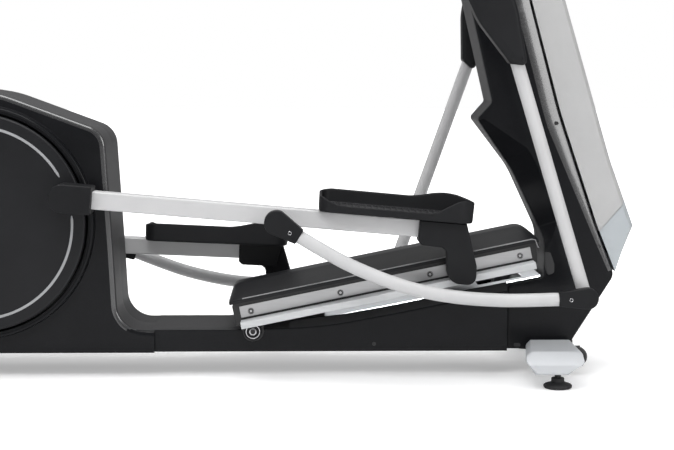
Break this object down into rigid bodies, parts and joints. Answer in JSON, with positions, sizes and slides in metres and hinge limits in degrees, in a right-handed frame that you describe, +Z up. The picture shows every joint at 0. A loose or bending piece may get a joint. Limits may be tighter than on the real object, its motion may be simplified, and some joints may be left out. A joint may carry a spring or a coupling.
{
  "type": "elliptical trainer",
  "caption": "Rear-drive elliptical trainer with swinging handlebars, curved links and roller pedal arms on an adjustable incline ramp.",
  "frame": {"origin": "centre of the machine's footprint box, on the floor", "axes": "+X forward the way the user faces, +Y the user's left, +Z up"},
  "size_m": [2.154, 0.652, 1.7066],
  "materials": {
    "frame_steel": "satin black powder coat",
    "grey_panel": "fine satin light grey",
    "gloss_black": "glossy near-black with faint orange peel",
    "matte_black": "fine grained matte black",
    "silver_paint": "pale silver powder coat",
    "rail_aluminium": "bright anodised",
    "stainless": "brushed along its length",
    "bright_steel": "turned",
    "pulley_alloy": "cast and turned",
    "flywheel_iron": "machined rim",
    "foot_rubber": "matte",
    "roller_tyre": "smooth urethane",
    "grip_rubber": "soft ribbed foam",
    "belt_rubber": "ribbed",
    "screen_glass": "dark smooth"
  },
  "bodies": {
    "frame": {"base_frame": "frame_steel", "front_stabilizer": "frame_steel", "rear_stabilizer": "frame_steel", "front_stabilizer_cover_right": "grey_panel", "front_stabilizer_cover_left": "grey_panel", "drive_housing_right": "gloss_black", "drive_housing_left": "gloss_black", "base_cover_right": "gloss_black", "base_cover_left": "gloss_black", "base_ledge": "grey_panel", "mast_cover_right": "gloss_black", "mast_cover_left": "gloss_black", "front_shroud": "grey_panel", "mast_post": "frame_steel", "console_body": "matte_black", "console_screen": "screen_glass", "fixed_handlebar": "matte_black", "ramp_pivot_shaft": "bright_steel", "drive_belt": "belt_rubber"},
    "ramp": {"ramp_frame": "matte_black", "ramp_cover": "gloss_black", "ramp_rail_right": "rail_aluminium", "ramp_rail_left": "rail_aluminium", "running_strip_right": "stainless", "running_strip_left": "stainless"},
    "crank": {"crank_shaft": "bright_steel", "crank_pulley": "pulley_alloy", "crank_disc_right": "gloss_black", "crank_disc_left": "gloss_black"},
    "flywheel": {"flywheel": "flywheel_iron", "flywheel_axle": "bright_steel"},
    "brake": {"magnet_bracket": "frame_steel"},
    "lift_motor": {"lift_motor": "frame_steel"},
    "lift_screw": {"lift_screw": "bright_steel"},
    "carriage_right": {"roller_axle_right": "bright_steel"},
    "roller_right": {"roller_right": "roller_tyre"},
    "arm_right": {"pedal_arm_right": "silver_paint", "arm_end_cap_right": "matte_black", "roller_bracket_right": "matte_black", "pedal_right": "matte_black"},
    "handle_right": {"handlebar_right": "silver_paint", "handle_shroud_right": "matte_black", "handle_grip_right": "grip_rubber"},
    "link_right": {"link_bar_right": "silver_paint"},
    "wheel_right": {"transport_wheel_right": "foot_rubber"},
    "foot_front_right": {"levelling_foot_front_right": "foot_rubber"},
    "foot_rear_right": {"levelling_foot_rear_right": "foot_rubber"},
    "carriage_left": {"roller_axle_left": "bright_steel"},
    "roller_left": {"roller_left": "roller_tyre"},
    "arm_left": {"pedal_arm_left": "silver_paint", "arm_end_cap_left": "matte_black", "roller_bracket_left": "matte_black", "pedal_left": "matte_black"},
    "handle_left": {"handlebar_left": "silver_paint", "handle_shroud_left": "matte_black", "handle_grip_left": "grip_rubber"},
    "link_left": {"link_bar_left": "silver_paint"},
    "wheel_left": {"transport_wheel_left": "foot_rubber"},
    "foot_front_left": {"levelling_foot_front_left": "foot_rubber"},
    "foot_rear_left": {"levelling_foot_rear_left": "foot_rubber"}
  },
  "joints": [
    {"name": "incline", "type": "hinge", "parent": "frame", "child": "ramp", "pos_m": [0.066, 0, 0.123], "axis": [0, -1, 0], "range_deg": [0, 7]},
    {"name": "lift_swing", "type": "hinge", "parent": "frame", "child": "lift_motor", "pos_m": [0.7226, 0, 0.146], "axis": [0, -1, 0], "range_deg": [0, 8.27]},
    {"name": "lift_extend", "type": "slide", "parent": "lift_motor", "child": "lift_screw", "axis": [0.0969, 0, 0.9953], "range_m": [0, 0.0801]},
    {"name": "crank_turn", "type": "hinge", "parent": "frame", "child": "crank", "pos_m": [-0.648, 0, 0.408], "axis": [0, 1, 0], "range_deg": [0, 180]},
    {"name": "flywheel_spin", "type": "hinge", "parent": "frame", "child": "flywheel", "pos_m": [-0.863, 0, 0.3], "axis": [0, 1, 0], "range_deg": [0, 1180]},
    {"name": "brake_lift", "type": "hinge", "parent": "frame", "child": "brake", "pos_m": [-0.897, -0.027, 0.48], "axis": [0, -1, 0], "range_deg": [0, 5]},
    {"name": "stride_right", "type": "slide", "parent": "ramp", "child": "carriage_right", "axis": [0.9796, 0, 0.2007], "range_m": [-0.483, 0]},
    {"name": "roller_spin_right", "type": "hinge", "parent": "carriage_right", "child": "roller_right", "pos_m": [0.6046, -0.179, 0.2944], "axis": [0, 1, 0], "range_deg": [-1152, 0]},
    {"name": "arm_tilt_right", "type": "hinge", "parent": "carriage_right", "child": "arm_right", "pos_m": [0.6046, -0.212, 0.2944], "axis": [0, 1, 0], "range_deg": [-2.6, 0]},
    {"name": "handle_swing_right", "type": "hinge", "parent": "frame", "child": "handle_right", "pos_m": [0.7003, -0.262, 0.9242], "axis": [0, 1, 0], "range_deg": [0, 36.8]},
    {"name": "link_turn_right", "type": "hinge", "parent": "handle_right", "child": "link_right", "pos_m": [0.9125, -0.288, 0.2301], "axis": [0, 1, 0], "range_deg": [-46.1, 0]},
    {"name": "wheel_roll_right", "type": "hinge", "parent": "frame", "child": "wheel_right", "pos_m": [0.921, -0.112, 0.048], "axis": [0, 1, 0], "continuous": true},
    {"name": "foot_turn_front_right", "type": "hinge", "parent": "frame", "child": "foot_front_right", "pos_m": [0.842, -0.285, 0.02], "axis": [0, 0, 1], "continuous": true},
    {"name": "foot_turn_rear_right", "type": "hinge", "parent": "frame", "child": "foot_rear_right", "pos_m": [-0.948, -0.285, 0.02], "axis": [0, 0, 1], "continuous": true},
    {"name": "stride_left", "type": "slide", "parent": "ramp", "child": "carriage_left", "axis": [0.9796, 0, 0.2007], "range_m": [0, 0.483]},
    {"name": "roller_spin_left", "type": "hinge", "parent": "carriage_left", "child": "roller_left", "pos_m": [0.1322, 0.179, 0.1976], "axis": [0, 1, 0], "range_deg": [0, 1152]},
    {"name": "arm_tilt_left", "type": "hinge", "parent": "carriage_left", "child": "arm_left", "pos_m": [0.1322, 0.212, 0.1976], "axis": [0, 1, 0], "range_deg": [0, 2.6]},
    {"name": "handle_swing_left", "type": "hinge", "parent": "frame", "child": "handle_left", "pos_m": [0.7003, 0.262, 0.9242], "axis": [0, 1, 0], "range_deg": [-36.8, 0]},
    {"name": "link_turn_left", "type": "hinge", "parent": "handle_left", "child": "link_left", "pos_m": [0.4557, 0.288, 0.2409], "axis": [0, 1, 0], "range_deg": [0, 46.1]},
    {"name": "wheel_roll_left", "type": "hinge", "parent": "frame", "child": "wheel_left", "pos_m": [0.921, 0.112, 0.048], "axis": [0, 1, 0], "continuous": true},
    {"name": "foot_turn_front_left", "type": "hinge", "parent": "frame", "child": "foot_front_left", "pos_m": [0.842, 0.285, 0.02], "axis": [0, 0, 1], "continuous": true},
    {"name": "foot_turn_rear_left", "type": "hinge", "parent": "frame", "child": "foot_rear_left", "pos_m": [-0.948, 0.285, 0.02], "axis": [0, 0, 1], "continuous": true}
  ],
  "couplings": [
    {"joint": "lift_swing", "follows": "incline", "ratio": 1.1813},
    {"joint": "lift_extend", "follows": "incline", "m_per_rad": 0.65546},
    {"joint": "flywheel_spin", "follows": "crank_turn", "ratio": 6.5385},
    {"joint": "stride_right", "follows": "crank_turn", "m_per_rad": -0.15348},
    {"joint": "roller_spin_right", "follows": "crank_turn", "ratio": -6.395},
    {"joint": "arm_tilt_right", "follows": "crank_turn", "ratio": -0.014056},
    {"joint": "handle_swing_right", "follows": "crank_turn", "ratio": 0.20386},
    {"joint": "link_turn_right", "follows": "crank_turn", "ratio": -0.25547},
    {"joint": "stride_left", "follows": "crank_turn", "m_per_rad": 0.15348},
    {"joint": "roller_spin_left", "follows": "crank_turn", "ratio": 6.395},
    {"joint": "arm_tilt_left", "follows": "crank_turn", "ratio": 0.014056},
    {"joint": "handle_swing_left", "follows": "crank_turn", "ratio": -0.20386},
    {"joint": "link_turn_left", "follows": "crank_turn", "ratio": 0.25547}
  ]
}
